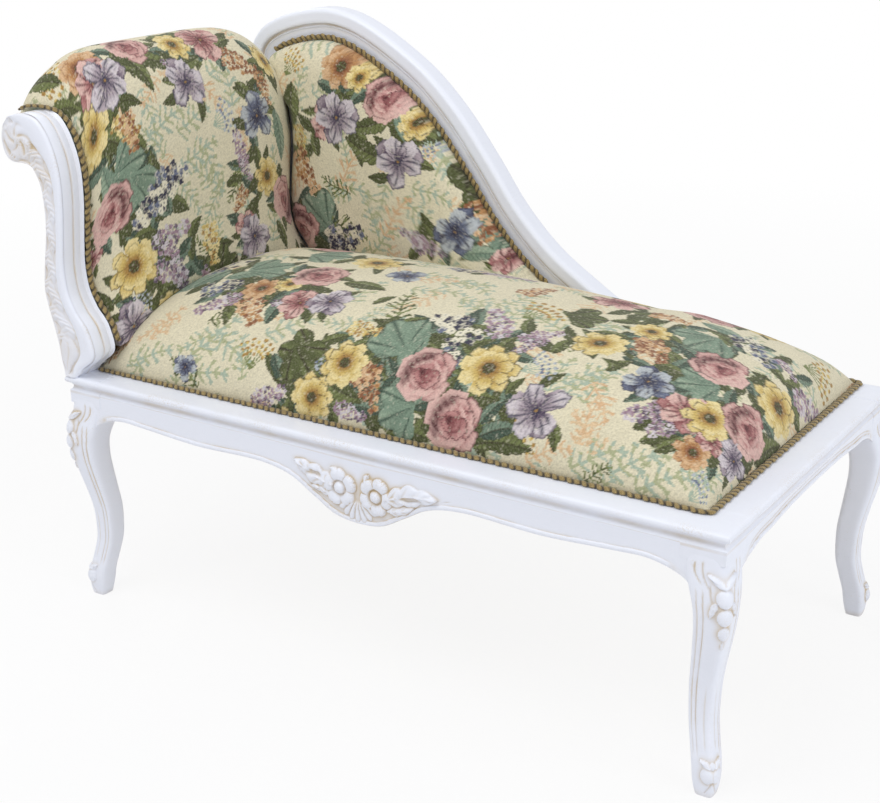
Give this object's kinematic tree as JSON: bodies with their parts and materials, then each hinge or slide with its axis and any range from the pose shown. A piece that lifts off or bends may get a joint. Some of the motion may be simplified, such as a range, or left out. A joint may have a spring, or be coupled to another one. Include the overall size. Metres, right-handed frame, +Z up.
{
  "type": "chaise longue",
  "caption": "Small carved and painted chaise longue with cabriole legs, a rolled head end and one sloping padded back, covered in floral tapestry.",
  "frame": {"origin": "on the floor, under the middle of the whole chaise", "axes": "+X towards the foot end, +Y towards the padded back, so the front is at -Y, +Z up"},
  "size_m": [1.1965, 0.6244, 0.875],
  "materials": {
    "painted_wood": "antique white paint, satin, with a thin ochre wash left in the carving",
    "inner_wood": "plain sawn beech, unfinished",
    "tapestry": "woven floral tapestry on a cream ground, matte",
    "foam": "upholstery foam, matte",
    "braid": "twisted cord braid, ochre gold and olive brown",
    "webbing": "woven jute straps, matte",
    "hessian": "coarse woven hessian, matte",
    "lining": "thin black bottoming cloth, matte"
  },
  "bodies": {
    "root": {"front_head_leg": "painted_wood", "rear_head_leg": "painted_wood", "front_foot_leg": "painted_wood", "rear_foot_leg": "painted_wood", "front_rail": "painted_wood", "rear_rail": "painted_wood", "foot_rail": "painted_wood", "head_rail": "painted_wood", "front_head_upright": "painted_wood", "rear_head_upright": "painted_wood", "back_top_rail": "painted_wood", "head_top_rail": "inner_wood", "head_lower_rail": "inner_wood", "back_lower_rail": "inner_wood", "back_post": "inner_wood", "corner_blocks": "inner_wood", "seat_cover": "tapestry", "head_cover": "tapestry", "back_cover": "tapestry", "head_outside_cover": "tapestry", "back_outside_cover": "tapestry", "seat_foam": "foam", "head_foam": "foam", "back_foam": "foam", "seat_gimp": "braid", "head_gimp": "braid", "back_gimp": "braid", "head_outside_gimp": "braid", "back_outside_gimp": "braid", "seat_webbing": "webbing", "head_webbing": "webbing", "back_webbing": "webbing", "seat_hessian": "hessian", "dust_cover": "lining"}
  },
  "joints": []
}
